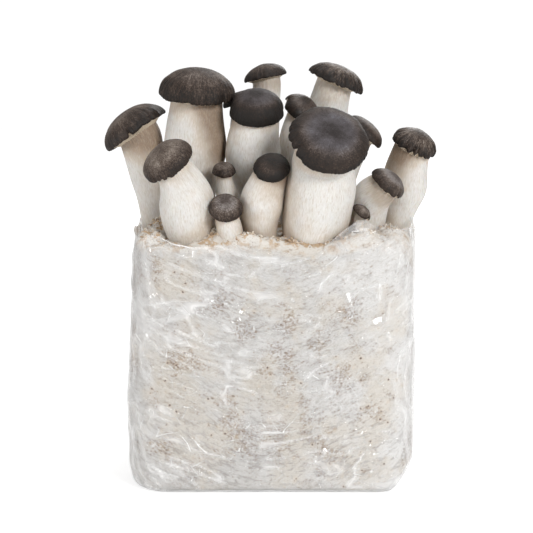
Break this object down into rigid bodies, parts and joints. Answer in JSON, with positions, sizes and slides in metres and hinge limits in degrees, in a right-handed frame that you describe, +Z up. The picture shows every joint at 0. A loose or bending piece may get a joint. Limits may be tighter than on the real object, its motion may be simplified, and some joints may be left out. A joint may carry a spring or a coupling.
{
  "type": "mushroom grow kit",
  "caption": "Block of mushroom substrate in clear film, open at the top, with a cluster of king oyster mushrooms growing from it.",
  "frame": {"origin": "centre of the underside of the film bag", "axes": "+Z up, the front faces -Y, +X to the right"},
  "size_m": [0.2382, 0.1473, 0.2973],
  "materials": {
    "substrate": "matt, sawdust grown through with white mycelium, with brown specks",
    "film": "clear thin plastic film, glossy, wrinkled",
    "stem_flesh": "matt ivory flesh with fine lengthwise fibres",
    "cap_skin": "velvety dark grey-brown skin with fine radial fibres"
  },
  "bodies": {
    "root": {"substrate_block": "substrate", "film_bag": "film", "stem_far_left": "stem_flesh", "cap_far_left": "cap_skin", "stem_tall_left": "stem_flesh", "cap_tall_left": "cap_skin", "stem_front_left": "stem_flesh", "cap_front_left": "cap_skin", "stem_centre": "stem_flesh", "cap_centre": "cap_skin", "stem_back_small": "stem_flesh", "cap_back_small": "cap_skin", "stem_back_right": "stem_flesh", "cap_back_right": "cap_skin", "stem_back_middle": "stem_flesh", "cap_back_middle": "cap_skin", "stem_large": "stem_flesh", "cap_large": "cap_skin", "stem_behind_large": "stem_flesh", "cap_behind_large": "cap_skin", "stem_front_middle": "stem_flesh", "cap_front_middle": "cap_skin", "stem_tiny_upper": "stem_flesh", "cap_tiny_upper": "cap_skin", "stem_tiny_front": "stem_flesh", "cap_tiny_front": "cap_skin", "stem_far_right": "stem_flesh", "cap_far_right": "cap_skin", "stem_right_front": "stem_flesh", "cap_right_front": "cap_skin", "stem_tiny_right": "stem_flesh", "cap_tiny_right": "cap_skin", "stem_behind_centre": "stem_flesh", "cap_behind_centre": "cap_skin"}
  },
  "joints": []
}
